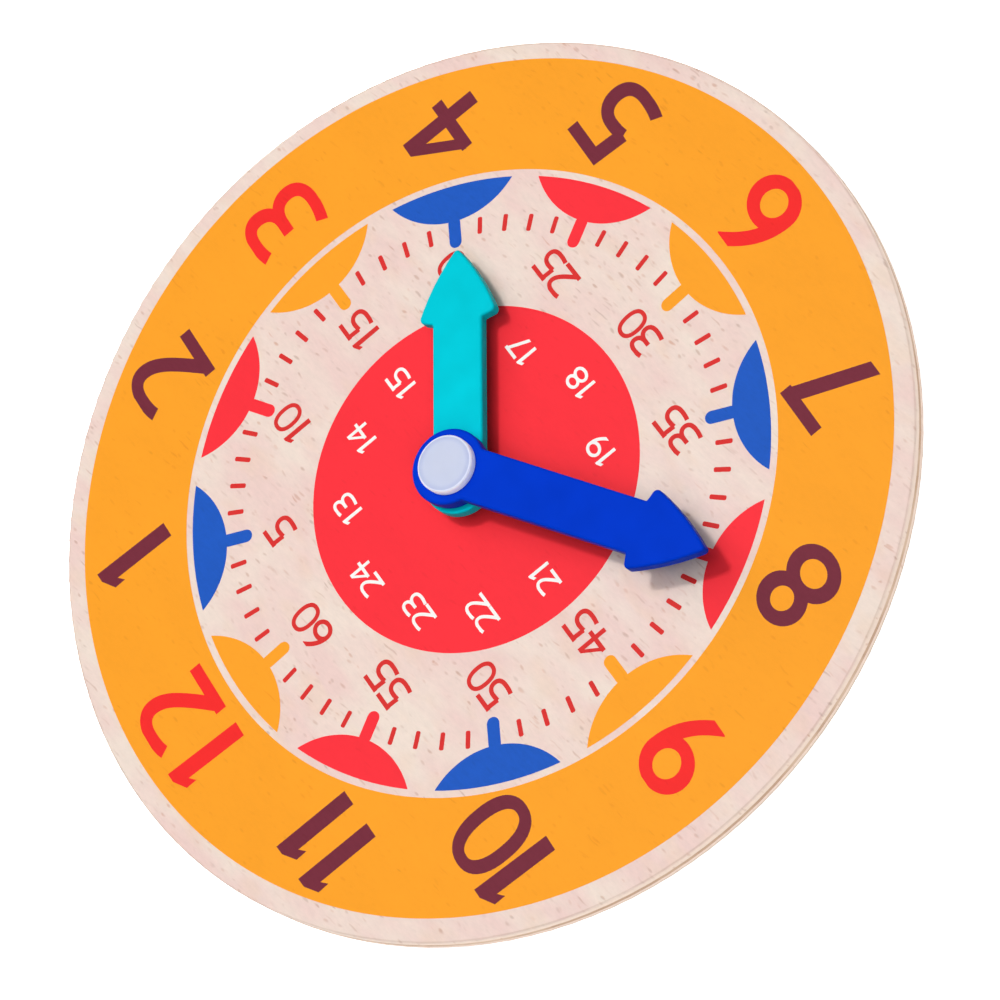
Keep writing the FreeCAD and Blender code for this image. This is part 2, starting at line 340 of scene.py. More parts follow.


# Thin-walled ABS cap, satin pale grey, that lets some light through; its colour carries painted light: a
# painted shade ring, a painted highlight ring, a paler painted wall and a painted glow
def capPlastic():
    material, tree = newMaterial("paleGreyAbs")
    place = addNode(tree, "ShaderNodeTexCoord").outputs["Object"]
    flat = addNode(tree, "ShaderNodeVectorMath", multiply, {0: place, 1: (1, 1, 0)})
    radius = addNode(tree, "ShaderNodeVectorMath", {"operation": "LENGTH"}, {0: flat})
    paintedShade, paintedHighlight = capFinish["paintedShadeRadius"] * mm, capFinish["paintedHighlightRadius"] * mm
    onPaintedShade = addNode(tree, "ShaderNodeMapRange", softStep, {
        "Value": radius, "From Min": capFinish["paintedShadeStart"] * paintedShade, "From Max": paintedShade})
    # where the painted highlight ring lies
    onRim = addNode(tree, "ShaderNodeMapRange", softStep, {
        "Value": radius, "From Min": paintedShade, "From Max": paintedHighlight})
    facing = addNode(tree, "ShaderNodeSeparateXYZ", inputs={
        0: addNode(tree, "ShaderNodeNewGeometry").outputs["Normal"]})
    onWall = addNode(tree, "ShaderNodeMapRange", inputs={
        "Value": facing.outputs["Z"],
        "From Min": capFinish["wallSlope"][0], "From Max": capFinish["wallSlope"][1]})
    cloud = addNode(tree, "ShaderNodeTexNoise", inputs={
        "Vector": place, "Scale": 1 / (capFinish["cloudSize"] * mm), "Detail": 2})
    dark, pale = (linear(capFinish["top"], shade) for shade in capFinish["shades"])
    colour = addNode(tree, "ShaderNodeMix", asColour, {"Factor": cloud, "A": dark, "B": pale})
    # the painted shade ring, painted highlight ring and paler painted wall laid over the top's colour
    for zone, mask in (("paintedShade", onPaintedShade), ("paintedHighlight", onRim), ("paintedLitWall", onWall)):
        colour = addNode(tree, "ShaderNodeMix", asColour, {
            "Factor": mask, "A": colour, "B": linear(capFinish[zone])})
    # a painted glow on the wall, though the cap is no lamp
    paintedGlow = addNode(tree, "ShaderNodeMath", multiply, {0: onWall, 1: capFinish["paintedGlow"]})
    grain = addNode(tree, "ShaderNodeTexNoise", inputs={
        "Vector": place, "Scale": 1 / (moulding["grainSize"] * mm), "Detail": 2})
    return finished(material, grain, capFinish["grainDepth"], {
        "Base Color": colour, "Roughness": capFinish["roughness"], "IOR": 1.54,
        "Specular IOR Level": capFinish["specular"],
        "Subsurface Weight": capFinish["translucency"], "Subsurface Radius": (1, 1, 1),
        "Subsurface Scale": capFinish["depth"] * mm,
        "Emission Color": linear(capFinish["paintedGlowColour"]), "Emission Strength": paintedGlow})


fibreSheet = {"light": "8A2A20", "dark": "6E2019", "roughness": 0.65,
              "grainSize": (0.8, 0.3, 0.3), "grainDepth": 0.01}  # mm


# Vulcanised fibre, punched from sheet: dull dark red with a papery grain
def vulcanisedFibre():
    material, tree = newMaterial("vulcanisedFibre")
    grain = addNode(tree, "ShaderNodeTexNoise", inputs={
        "Vector": grainSpace(tree, fibreSheet["grainSize"]), "Scale": 1, "Detail": 3})
    colour = addNode(tree, "ShaderNodeMix", asColour, {
        "Factor": grain, "A": linear(fibreSheet["light"]), "B": linear(fibreSheet["dark"])})
    return finished(material, grain, fibreSheet["grainDepth"], {
        "Base Color": colour, "Roughness": fibreSheet["roughness"], "IOR": 1.45})


plating = {"colour": "C4C6C8", "roughness": (0.28, 0.4), "ringSize": 0.9, "ringDepth": 0.005}  # mm


# Zinc-plated steel, turned and bright: grey metal with rings from the lathe, drawn coarse
def zincPlatedSteel():
    material, tree = newMaterial("zincPlatedSteel")
    place = addNode(tree, "ShaderNodeTexCoord").outputs["Object"]
    rings = addNode(tree, "ShaderNodeTexWave", {"wave_type": "RINGS", "rings_direction": "Z"}, {
        "Vector": place, "Scale": 1 / (plating["ringSize"] * mm), "Distortion": 0.6, "Detail": 1})
    rough = addNode(tree, "ShaderNodeMapRange", inputs={
        "Value": rings, "To Min": plating["roughness"][0], "To Max": plating["roughness"][1]})
    return finished(material, rings, plating["ringDepth"], {
        "Base Color": linear(plating["colour"]), "Metallic": 1.0, "Roughness": rough})


inkTones = {  # colour, then how strongly the fine figure and the flecks show through
    "orange": ("FBA125", 0.012, 0.35),
    "red": ("FA303B", 0.012, 0.25),
    "blue": ("1B58BF", 0.05, 0.35),
    "maroon": ("762B3B", 0.05, 0.3),
    "numeralRed": ("F52928", 0.012, 0.3),
    "tickRed": ("D9302E", 0.03, 0.5),
    "white": ("F6F4F0", 0.01, 0.2),
}
inks = {tone: screenInk(tone + "ScreenInk", *look) for tone, look in inkTones.items()}
nylon = mouldedAbs("whiteNylon", "DADCE0", 0.4)  # milky, and a little duller
fibre = vulcanisedFibre()
cadFinishes = {
    "front_ply": beechVeneer("beechFaceVeneer"),
    "core_ply": coreVeneer(),
    "back_ply": beechVeneer("beechBackVeneer", glueLine),
    "pivot_post": nylon, "spacer_collar": nylon, "cap_seat": nylon,
    "lower_washer": fibre, "middle_washer": fibre, "upper_washer": fibre,
    "retaining_screw": zincPlatedSteel(),
    "hub_cap": capPlastic(),
}
for node, finish in cadFinishes.items():
    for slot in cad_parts[node].material_slots:
        slot.material = finish
print(f"finishes: {len(cadFinishes)} nodes dressed, {len(inks)} inks mixed")


dialPrint = {
    "offset": (0.72, -0.96),  # mm, the pivot was drilled a little off the print's centre
    "thickness": 0.04,  # mm of each coat of ink
    "sink": 0.02,  # mm that a coat keys into what it lies on
    "ringInner": 75.06,
    "ringOuter": 102.6,
    "holeRadius": 4.4,  # drilled through the print, and covered by the collar
    "discOuter": 41.47,
    "segments": 360,
    "weld": 0.0005,  # mm, points closer than this become one
}
printCentre = Vector((*dialPrint["offset"], 0))
firstCoat = (dialTop / mm - dialPrint["sink"], dialTop / mm + dialPrint["thickness"])
secondCoat = (firstCoat[1] - dialPrint["sink"], firstCoat[1] + dialPrint["thickness"])


def printedBand(name, inner, outer, heights, material, holeCentre=printCentre):
    count = dialPrint["segments"]
    verts, faces = [], []
    corners = [(holeCentre, inner, heights[0]), (printCentre, outer, heights[0]),
               (printCentre, outer, heights[1]), (holeCentre, inner, heights[1])]
    for step in range(count):
        angle = 2 * math.pi * step / count
        for centre, radius, z in corners:
            verts.append(centre + Vector((radius * math.cos(angle), radius * math.sin(angle), z)))
        here, after = 4 * step, 4 * ((step + 1) % count)
        for side in range(4):
            nextSide = (side + 1) % 4
            faces.append((here + side, after + side, after + nextSide, here + nextSide))
    return addPiece(name, verts, faces, material)


ring = printedBand("hourRing", dialPrint["ringInner"], dialPrint["ringOuter"], firstCoat, inks["orange"])
disc = printedBand("centreDisc", dialPrint["holeRadius"], dialPrint["discOuter"], firstCoat, inks["red"],
                   Vector((0, 0, 0)))


def newTree(name, inputs):  # a Geometry Nodes tree with named inputs: name -> (socket type, value)
    tree = bpy.data.node_groups.new(name, "GeometryNodeTree")
    for key, (kind, value) in inputs.items():
        socket = tree.interface.new_socket(name=key, in_out="INPUT", socket_type="NodeSocket" + kind)
        if value is not None:
            socket.default_value = value
    tree.interface.new_socket(name="Geometry", in_out="OUTPUT", socket_type="NodeSocketGeometry")
    return tree, addNode(tree, "NodeGroupInput").outputs


def inkSlabGroup():  # a flat mesh to a closed coat of ink
    tree, given = newTree("inkSlab", {
        "Flat": ("Geometry", None), "Thickness": ("Float", dialPrint["thickness"] * mm)})
    raised = addNode(tree, "GeometryNodeExtrudeMesh", inputs={
        "Mesh": given["Flat"], "Offset Scale": given["Thickness"], "Individual": False})
    under = addNode(tree, "GeometryNodeFlipFaces", inputs={"Mesh": given["Flat"]})
    both = addNode(tree, "GeometryNodeJoinGeometry", inputs={0: raised})
    tree.links.new(under.outputs["Mesh"], both.inputs[0])
    closed = addNode(tree, "GeometryNodeMergeByDistance", inputs={
        "Geometry": both, "Distance": dialPrint["weld"] * mm})
    addNode(tree, "NodeGroupOutput", inputs={0: closed})
    return tree


inkSlab = inkSlabGroup()


def roundedBar(tree, width, length, corner, middle):  # flat bar along Y with its middle at that height
    outline = addNode(tree, "GeometryNodeCurvePrimitiveQuadrilateral", inputs={
        "Width": width, "Height": length})
    softened = addNode(tree, "GeometryNodeFilletCurve", {"mode": "POLY"}, {
        "Curve": outline, "Radius": corner, "Count": 5, "Limit Radius": True})
    flat = addNode(tree, "GeometryNodeFillCurve", {"mode": "NGONS"}, {"Curve": softened})
    return addNode(tree, "GeometryNodeTransform", inputs={
        "Geometry": flat, "Translation": addNode(tree, "ShaderNodeCombineXYZ", inputs={"Y": middle})})


def aroundDial(tree, given, shape, skipEvery=0):  # copies the twelve o'clock shape clockwise and inks it
    index = addNode(tree, "GeometryNodeInputIndex")
    angle = addNode(tree, "ShaderNodeMath", multiplyAdd, {0: index, 1: given["Step"], 2: given["Start"]})
    clockwise = addNode(tree, "ShaderNodeMath", multiply, {0: angle, 1: -1})
    turn = addNode(tree, "FunctionNodeEulerToRotation", inputs={
        0: addNode(tree, "ShaderNodeCombineXYZ", inputs={"Z": clockwise})})
    points = addNode(tree, "GeometryNodePoints", inputs={"Count": given["Count"]})
    copies = addNode(tree, "GeometryNodeInstanceOnPoints", inputs={
        "Points": points, "Instance": shape, "Rotation": turn})
    if skipEvery:
        left = addNode(tree, "ShaderNodeMath", {"operation": "MODULO"}, {0: index, 1: skipEvery})
        keep = addNode(tree, "FunctionNodeCompare", {"operation": "GREATER_THAN"}, {"A": left, "B": 0.5})
        tree.links.new(keep.outputs["Result"], copies.inputs["Selection"])
    real = addNode(tree, "GeometryNodeRealizeInstances", inputs={0: copies})
    inked = addNode(tree, "GeometryNodeSetMaterial", inputs={"Geometry": real, "Material": given["Ink"]})
    addNode(tree, "NodeGroupOutput", inputs={0: inked})


minuteTicks = {"Inner": 59.9, "Outer": 64.1, "Width": 1.15, "Corner": 0.4, "Thickness": 0.06}  # mm


def ticksTree():
    tree, given = newTree("minuteTicks", {
        **{name: ("Float", 0.0) for name in minuteTicks}, "Count": ("Int", 60), "Start": ("Float", 0.0),
        "Step": ("Float", math.radians(6)), "Ink": ("Material", None)})
    length = addNode(tree, "ShaderNodeMath", subtract, {0: given["Outer"], 1: given["Inner"]})
    middle = addNode(tree, "ShaderNodeMath", multiplyAdd, {0: length, 1: 0.5, 2: given["Inner"]})
    bar = roundedBar(tree, given["Width"], length, given["Corner"], middle)
    tick = addNode(tree, "GeometryNodeGroup", {"node_tree": inkSlab}, {
        "Flat": bar, "Thickness": given["Thickness"]})
    aroundDial(tree, given, tick, skipEvery=5)  # a petal's stem stands in for every fifth tick
    return tree


hourPetals = {"Edge": 73.4, "Half Width": 15.6, "Arc Radius": 20.4, "Arc Centre": 84.8,
              "Stem Width": 3.1, "Stem End": 57.7, "Overlap": 1.2, "Thickness": 0.06}  # mm


def petalsTree():
    tree, given = newTree("hourPetals", {
        **{name: ("Float", 0.0) for name in hourPetals}, "Columns": ("Int", 41), "Count": ("Int", 4),
        "Start": ("Float", 0.0), "Step": ("Float", math.radians(90)), "Ink": ("Material", None)})
    # a strip of two rows: the lower row goes on the petal's own arc, the upper one on the dial's circle
    strip = addNode(tree, "GeometryNodeMeshGrid", inputs={
        "Size X": 2.0, "Size Y": 1.0, "Vertices X": given["Columns"], "Vertices Y": 2})
    place = addNode(tree, "ShaderNodeSeparateXYZ", inputs={0: addNode(tree, "GeometryNodeInputPosition")})
    across = addNode(tree, "ShaderNodeMath", multiply, {0: place.outputs["X"], 1: given["Half Width"]})
    squared = addNode(tree, "ShaderNodeMath", multiply, {0: across, 1: across})
    reach = {}  # how far each circle stands above its centre, at this distance across
    for circle in ("Edge", "Arc Radius"):
        size = addNode(tree, "ShaderNodeMath", multiply, {0: given[circle], 1: given[circle]})
        rest = addNode(tree, "ShaderNodeMath", subtract, {0: size, 1: squared})
        reach[circle] = addNode(tree, "ShaderNodeMath", {"operation": "SQRT"}, {0: rest})
    lower = addNode(tree, "ShaderNodeMath", subtract, {0: given["Arc Centre"], 1: reach["Arc Radius"]})
    depth = addNode(tree, "ShaderNodeMath", subtract, {0: reach["Edge"], 1: lower})
    isUpper = addNode(tree, "ShaderNodeMath", {"operation": "GREATER_THAN"}, {0: place.outputs["Y"], 1: 0})
    height = addNode(tree, "ShaderNodeMath", multiplyAdd, {0: isUpper, 1: depth, 2: lower})
    petal = addNode(tree, "GeometryNodeSetPosition", inputs={
        "Geometry": strip,
        "Position": addNode(tree, "ShaderNodeCombineXYZ", inputs={"X": across, "Y": height})})
    petalFoot = addNode(tree, "ShaderNodeMath", subtract, {
        0: given["Arc Centre"], 1: given["Arc Radius"]})
    stemTop = addNode(tree, "ShaderNodeMath", {"operation": "ADD"}, {0: petalFoot, 1: given["Overlap"]})
    length = addNode(tree, "ShaderNodeMath", subtract, {0: stemTop, 1: given["Stem End"]})
    middle = addNode(tree, "ShaderNodeMath", multiplyAdd, {0: length, 1: 0.5, 2: given["Stem End"]})
    # a touch under half the stem, so that the two corners at its end never meet
    corner = addNode(tree, "ShaderNodeMath", multiply, {0: given["Stem Width"], 1: 0.49})
    stem = roundedBar(tree, given["Stem Width"], length, corner, middle)
    whole = addNode(tree, "GeometryNodeMeshBoolean", {"operation": "UNION", "solver": "EXACT"})
    for flat in (petal, stem):
        slab = addNode(tree, "GeometryNodeGroup", {"node_tree": inkSlab}, {
            "Flat": flat, "Thickness": given["Thickness"]})
        tree.links.new(slab.outputs[0], whole.inputs["Mesh 2"])
    aroundDial(tree, given, whole)
    return tree


def printFromTree(name, tree, sizes, others):  # sizes in mm
    piece = addPiece(name, [], [], others["Ink"])
    modifier = piece.modifiers.new(name, "NODES")
    modifier.node_group = tree
    values = {**{key: size * mm for key, size in sizes.items()}, **others}
    for socket in tree.interface.items_tree:
        if socket.in_out == "INPUT" and socket.name in values:
            modifier[socket.identifier] = values[socket.name]
    baked(piece)
    piece.data.transform(Matrix.Translation(printCentre * mm + Vector((0, 0, firstCoat[0] * mm))))
    return piece


ticks = printFromTree("minuteTicks", ticksTree(), minuteTicks, {"Ink": inks["tickRed"]})
petalGroup = petalsTree()
petals = [printFromTree("hourPetals" + colour.capitalize(), petalGroup, hourPetals, {
    "Start": math.radians(30 * first), "Ink": inks[colour]})
    for first, colour in ((0, "orange"), (1, "blue"), (2, "red"))]
petalFaces = sum(len(p.data.polygons) for p in petals)
print(f"dial: ring, disc, {len(ticks.data.polygons)} tick faces, {petalFaces} petal faces")


# Each digit is drawn with a flat-ended pen: M start, L line, C curve, O oval (centre, radii, squareness).
# The number before a stroke thins the pen. They fit a digit 20.4 mm high with a 3.8 by 3.0 mm pen.
digitStrokes = {
    "0": [(0.92, "O 0 0 5.55 8.85 2.35")],
    "2": [(1, "M -5.6 8.1 C -3.6 8.8 -1.6 8.9 0.2 8.9 C 3.6 8.9 5.7 7.4 5.7 5.0"
              " C 5.7 1.5 3.0 -1.6 -4.9 -8.7"),
          (1, "M -6.8 -8.7 L 6.8 -8.7")],
    "3": [(1, "M -5.6 8.1 C -3.5 8.8 -1.5 8.9 -0.3 8.9 C 3.2 8.9 5.0 7.6 5.0 5.2"
              " C 5.0 2.4 3.0 0.4 -0.6 0.4 L -3.7 0.4"),
          (1, "M -0.6 0.4 C 3.4 0.4 5.3 -1.6 5.3 -4.2 C 5.3 -7.2 3.0 -8.8 -0.9 -8.8"
              " C -3.0 -8.8 -5.2 -8.5 -7.0 -7.9")],
    "4": [(1, "M 2.05 -12 L 2.75 12"), (1, "M -7.6 -2.05 L 7.4 -2.05"), (0.77, "M 2.4 10.35 L -6.5 -2.2")],
    "5": [(1, "M -5.6 8.5 L 6.7 8.5"), (1, "M -3.7 9.9 L -4.4 0.4"),
          (1, "M -4.6 0.4 C -3 0.8 -1.5 0.9 0 0.9 C 3.5 0.9 5.2 -1.2 5.2 -4.0 C 5.2 -7.2 3.0 -8.8 -1.0 -8.8"
              " C -3 -8.8 -5.2 -8.6 -6.9 -8.1")],
    "6": [(1, "O 0 -3.95 5.45 4.95 2"), (1, "M 2.5 11 C -2.0 7.0 -5.45 2.5 -5.45 -4.0")],
    "7": [(1, "M -6.4 8.7 L 7.0 8.7"), (1, "M 5.2 9.0 L -4.1 -11.6")],
    "8": [(1, "O 0.2 4.5 4.9 4.3 2"), (1, "O -0.1 -4.3 5.6 4.5 2")],
}
# The one is cut, not drawn: each corner is a point plus so many half pens across and up
oneCorners = [(0, -8.7, -1.08, -1), (0, -8.7, 1.08, -1), (0.9, 8.7, 1.08, 0.95), (0.9, 8.7, -0.2, 0.9),
              (-3.1, 6.45, 0, 1), (-3.1, 6.45, 0, -1), (0.65, 7.8, -1.08, -1)]
drawnReach = (5.3, 8.7)  # mm from a drawn digit's middle to the pen's path at its side and its top
trimSlack = 1.005  # the window that trims the pen's ends is this much taller than the digit
curveSteps = 14
ovalSteps = 44
insideOnly = 1  # what delaunay_2d_cdt gives back: the triangles inside the outlines
squareCorners = ((-1, -1), (1, -1), (1, 1), (-1, 1))


def strokePoints(drawing):  # the pen's path as points, and whether it closes
    words = drawing.split()
    points, at = [], 0
    while at < len(words):
        mark, at = words[at], at + 1
        count = {"M": 2, "L": 2, "C": 6, "O": 5}[mark]
        numbers = [float(w) for w in words[at:at + count]]
        at += count
        if mark == "O":
            cx, cy, rx, ry, square = numbers
            for step in range(ovalSteps):
                turn = 2 * math.pi * step / ovalSteps
                c, s = math.cos(turn), math.sin(turn)
                points.append(Vector((cx + rx * math.copysign(abs(c) ** (2 / square), c),
                                      cy + ry * math.copysign(abs(s) ** (2 / square), s))))
            return points, True
        ends = [Vector(pair) for pair in zip(numbers[::2], numbers[1::2])]
        if mark == "C":
            curve = geometry.interpolate_bezier(points[-1].to_3d(), ends[0].to_3d(), ends[1].to_3d(),
                                                ends[2].to_3d(), curveSteps)
            points += [p.to_2d() for p in curve[1:]]
        else:
            points += ends
    return points, False


def penQuads(points, closed, halfPen):  # the strip that the pen leaves, one four-sided patch a step
    count = len(points)
    edges = []
    for i, point in enumerate(points):
        before = points[i - 1] if closed or i else point
        after = points[(i + 1) % count] if closed or i < count - 1 else point
        along = (after - before).normalized()
        nib = Vector((-along.y * halfPen[0] ** 2, along.x * halfPen[1] ** 2))
        nib /= math.hypot(along.y * halfPen[0], along.x * halfPen[1])
        edges.append((point - nib, point + nib))
    ahead = edges[1:] + (edges[:1] if closed else [])
    return [[left, nextLeft, nextRight, right] for (left, right), (nextLeft, nextRight) in zip(edges, ahead)]


def digitFlat(digit, style):  # flat triangles of one digit, centred, in mm
    halfPen = (style["pen"][0] / 2, style["pen"][1] / 2)
    stretch = ((style["width"] / 2 - halfPen[0]) / drawnReach[0],
               (style["height"] / 2 - halfPen[1]) / drawnReach[1])
    turn = -1 if digit == "9" else 1  # a nine is a six turned round
    patches = []
    if digit == "1":
        patches.append([Vector((x * stretch[0] + across * halfPen[0], y * stretch[1] + up * halfPen[1]))
                        for x, y, across, up in oneCorners])
    for weight, drawing in digitStrokes.get("6" if digit == "9" else digit, []):
        points, closed = strokePoints(drawing)
        points = [Vector((p.x * stretch[0], p.y * stretch[1])) * turn for p in points]
        patches += penQuads(points, closed, (halfPen[0] * weight, halfPen[1] * weight))
    top = style["height"] / 2 * trimSlack
    window = [Vector((x * style["width"], y * top)) for x, y in squareCorners]
    verts, faces = [], []
    for patch in [window] + patches:
        faces.append(list(range(len(verts), len(verts) + len(patch))))
        verts += patch
    flat = geometry.delaunay_2d_cdt(verts, [], faces, insideOnly, dialPrint["weld"])
    inside = [face for face, covers in zip(flat[2], flat[5]) if 0 in covers and len(covers) > 1]
    return flat[0], inside


def slabFaces(verts2d, flatFaces, place, heights, verts, faces):  # adds a closed slab to verts and faces
    used = sorted({i for face in flatFaces for i in face})
    rank = {old: new for new, old in enumerate(used)}
    base, lift = len(verts), len(used)
    for z in heights:
        verts += [place(verts2d[i], z) for i in used]
    sides = set()
    for face in flatFaces:
        ids = [base + rank[i] for i in face]
        faces.append([i + lift for i in ids])
        faces.append(ids[::-1])
        sides |= {(a, b) for a, b in zip(ids, ids[1:] + ids[:1])}
    for a, b in sorted(sides):
        if (b, a) not in sides:
            faces.append([a, b, b + lift, a + lift])


def printedNumerals(name, style, entries, heights, material):
    verts, faces, digits = [], [], {}
    for text, x, y, *gap in entries:
        gap = gap[0] if gap else style["gapByOne"] if "1" in text else style["gap"]
        boxes = []
        for digit in text:
            if digit not in digits:
                digits[digit] = digitFlat(digit, style)
            flat, inside = digits[digit]
            across = [flat[i].x for face in inside for i in face]
            boxes.append((min(across), max(across)))
        total = sum(right - left for left, right in boxes) + gap * (len(text) - 1)
        pen = -total / 2
        lean = math.radians(style["lean"].get(text, style["lean"]["all"]))
        for digit, (left, right) in zip(text, boxes):
            shift = pen - left

            def place(point, z, shift=shift):
                px, py = point.x + shift, point.y
                return printCentre + Vector((x + px * math.cos(lean) + py * math.sin(lean),
                                             y - px * math.sin(lean) + py * math.cos(lean), z))

            slabFaces(*digits[digit], place, heights, verts, faces)
            pen += right - left + gap
    return addPiece(name, verts, faces, material)


hourStyle = {"height": 20.4, "width": 14.4, "pen": (3.8, 3.0), "gap": 1.0, "gapByOne": 4.0,
             "lean": {"all": 2.2, "11": 0}}  # mm, and degrees clockwise
minuteStyle = {"height": 7.7, "width": 5.4, "pen": (1.14, 1.1), "gap": 0.15, "gapByOne": 0.95,
               "lean": {"all": 0}}
dayStyle = {"height": 5.6, "width": 4.1, "pen": (0.78, 0.78), "gap": 0.05, "gapByOne": 0.9,
            "lean": {"all": 0}}
# text, then its centre from the print's centre, and its own gap where the printer set it closer
quarterHours = [("12", 1.2, 88.3), ("3", 88.4, 0.1), ("6", 1.3, -88.4), ("9", -87.8, -0.6)]
otherHours = [("1", 46.05, 76.1), ("2", 77.9, 44.2), ("4", 76.3, -43.6), ("5", 46.3, -76.0),
              ("7", -43.8, -76.6), ("8", -76.2, -43.5), ("10", -75.5, 44.6, 0.6), ("11", -46.1, 76.7)]
minutes = [("60", -0.6, 50.8), ("5", 24.4, 44.0), ("10", 44.8, 26.9), ("15", 51.3, 0.8),
           ("20", 44.4, -25.6), ("25", 26.4, -43.7), ("30", -0.4, -50.3), ("35", -26.2, -43.6),
           ("40", -43.5, -25.3), ("45", -50.2, 0.4), ("50", -43.1, 25.5), ("55", -25.6, 44.1)]
dayHours = [("24", -0.8, 33.9), ("13", 16.7, 28.0), ("14", 28.7, 15.5), ("15", 32.5, 0.5),
            ("16", 28.5, -15.5), ("17", 17.3, -26.6), ("18", 0.2, -32.7), ("19", -16.7, -27.0),
            ("20", -28.3, -15.5), ("21", -32.4, 0.7), ("22", -28.1, 17.0), ("23", -16.6, 28.5)]
numerals = [
    printedNumerals("quarterNumerals", hourStyle, quarterHours, secondCoat, inks["numeralRed"]),
    printedNumerals("hourNumerals", hourStyle, otherHours, secondCoat, inks["maroon"]),
    printedNumerals("minuteNumerals", minuteStyle, minutes, firstCoat, inks["tickRed"]),
    printedNumerals("dayHourNumerals", dayStyle, dayHours, secondCoat, inks["white"]),
]
for piece in [ring, disc, ticks, *petals, *numerals]:
    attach(piece, "board")
print(f"numerals: {sum(len(p.data.polygons) for p in numerals)} faces")


handShape = {  # mm
    "width": 12.5, "bore": 4.05, "neckRound": 1.4, "barbHalfWidth": 9.85, "barbRound": 1.2,
    "notchRound": 0.5, "tipRound": 0.9, "topRound": 0.7, "bottomRound": 0.15, "footInset": 0.2,
    # steps round each curve, and where the points of a bowed side lie along it
    "bossSteps": 44, "neckSteps": 8, "notchSteps": 5, "barbSteps": 7, "tipSteps": 8,
    "topSteps": 6, "bottomSteps": 3, "boreSteps": 48, "footSteps": 96,
    "bowStops": (0.16, 0.32, 0.48, 0.64, 0.8, 0.9),
    "sharpAngle": 35,  # degrees, and an edge that turns more stays crisp
    "weld": 1e-6,
}
hands = {
    "hour_hand": {"piece": "hourHandMoulding", "boss": 8.75, "setBack": 1.0, "tip": 55.1, "head": 18.0,
                  "sweep": 1.1, "bulge": 0.9, "drop": 0.0, "clockAngle": 124.2,
                  "slot": "hour_hand_plastic", "finish": ("tealAbs", "00C7D6")},
    "minute_hand": {"piece": "minuteHandMoulding", "boss": 9.05, "setBack": 0.4, "tip": 69.2, "head": 18.4,
                    "sweep": 1.0, "bulge": 0.8, "drop": 1.0, "clockAngle": 239.7,
                    "slot": "minute_hand_plastic", "finish": ("blueAbs", "0037C6")},
}


def arcPoints(centre, radius, first, last, steps):
    return [centre + radius * Vector((math.cos(a), math.sin(a)))
            for a in (first + (last - first) * i / steps for i in range(steps + 1))]


def roundedCorner(before, corner, after, radius, steps):
    toBefore, toAfter = (before - corner).normalized(), (after - corner).normalized()
    half = toBefore.angle(toAfter) / 2
    centre = corner + (toBefore + toAfter).normalized() * (radius / math.sin(half))
    start = corner + toBefore * (radius / math.tan(half)) - centre
    sweep = math.pi - 2 * half
    if (corner - before).cross(after - corner) < 0:
        sweep = -sweep
    first = math.atan2(start.y, start.x)
    return arcPoints(centre, radius, first, first + sweep, steps)


def handOutline(hand):  # closed, anticlockwise, pointing along +X
    shape = handShape
    half = shape["width"] / 2
    boss = Vector((-hand["setBack"], 0))
    reach = hand["boss"] + shape["neckRound"]
    neckSide = half + shape["neckRound"]
    neck = boss + Vector((math.sqrt(reach ** 2 - neckSide ** 2), neckSide))
    meet = math.atan2(neck.y - boss.y, neck.x - boss.x)
    notch = Vector((hand["tip"] - hand["head"], half))
    barb = Vector((notch.x + hand["sweep"], shape["barbHalfWidth"]))
    tip = Vector((hand["tip"], 0))
    side = tip - barb
    out = Vector((-side.y, side.x)).normalized()
    bow = [barb + side * t + out * (4 * hand["bulge"] * t * (1 - t)) for t in shape["bowStops"]]
    mirroredBow = Vector((bow[-1].x, -bow[-1].y))
    upper = arcPoints(boss, hand["boss"], math.pi, meet, shape["bossSteps"])
    upper += arcPoints(neck, shape["neckRound"], meet + math.pi, 1.5 * math.pi, shape["neckSteps"])[1:]
    upper += roundedCorner(upper[-1], notch, barb, shape["notchRound"], shape["notchSteps"])
    upper += roundedCorner(notch, barb, bow[0], shape["barbRound"], shape["barbSteps"])
    upper += bow
    nose = roundedCorner(bow[-1], tip, mirroredBow, shape["tipRound"], shape["tipSteps"])
    lower = [Vector((p.x, -p.y)) for p in upper]
    return lower + nose[::-1] + upper[:0:-1]


def insetLoop(loop, distance):
    moved = []
    for i, point in enumerate(loop):
        before = (point - loop[i - 1]).normalized()
        after = (loop[(i + 1) % len(loop)] - point).normalized()
        inward = Vector((-before.y - after.y, before.x + after.x))
        moved.append(point + inward * (distance / (1 + before.dot(after))))
    return moved


def stackLoops(loops, verts, faces):  # quads that face out where anticlockwise loops climb
    starts = []
    for loop, z in loops:
        starts.append(len(verts))
        verts += [(p.x, p.y, z) for p in loop]
    count = len(loops[0][0])
    for low, high in zip(starts, starts[1:]):
        for i in range(count):
            j = (i + 1) % count
            faces.append([low + i, low + j, high + j, high + i])
    return starts


def flatBetween(outer, inner, outerStart, innerStart, faces, up):  # between loops already in verts
    count = len(outer)
    loops = [list(range(count)), list(range(count, count + len(inner)))]
    flat = geometry.delaunay_2d_cdt(outer + inner, [], loops, insideOnly, handShape["weld"])
    for face, covers in zip(flat[2], flat[5]):
        if list(covers) == [0]:
            ids = [flat[3][i][0] for i in face]
            ids = [outerStart + i if i < count else innerStart + i - count for i in ids]
            faces.append(ids if up else ids[::-1])


def roundedEdge(outline, z, size, steps):  # loops from the flat's edge at z out to the full outline
    turns = [math.pi / 2 * step / steps for step in range(steps + 1)]
    return [(insetLoop(outline, abs(size) * (1 - math.sin(t))), z + size * (1 - math.cos(t))) for t in turns]


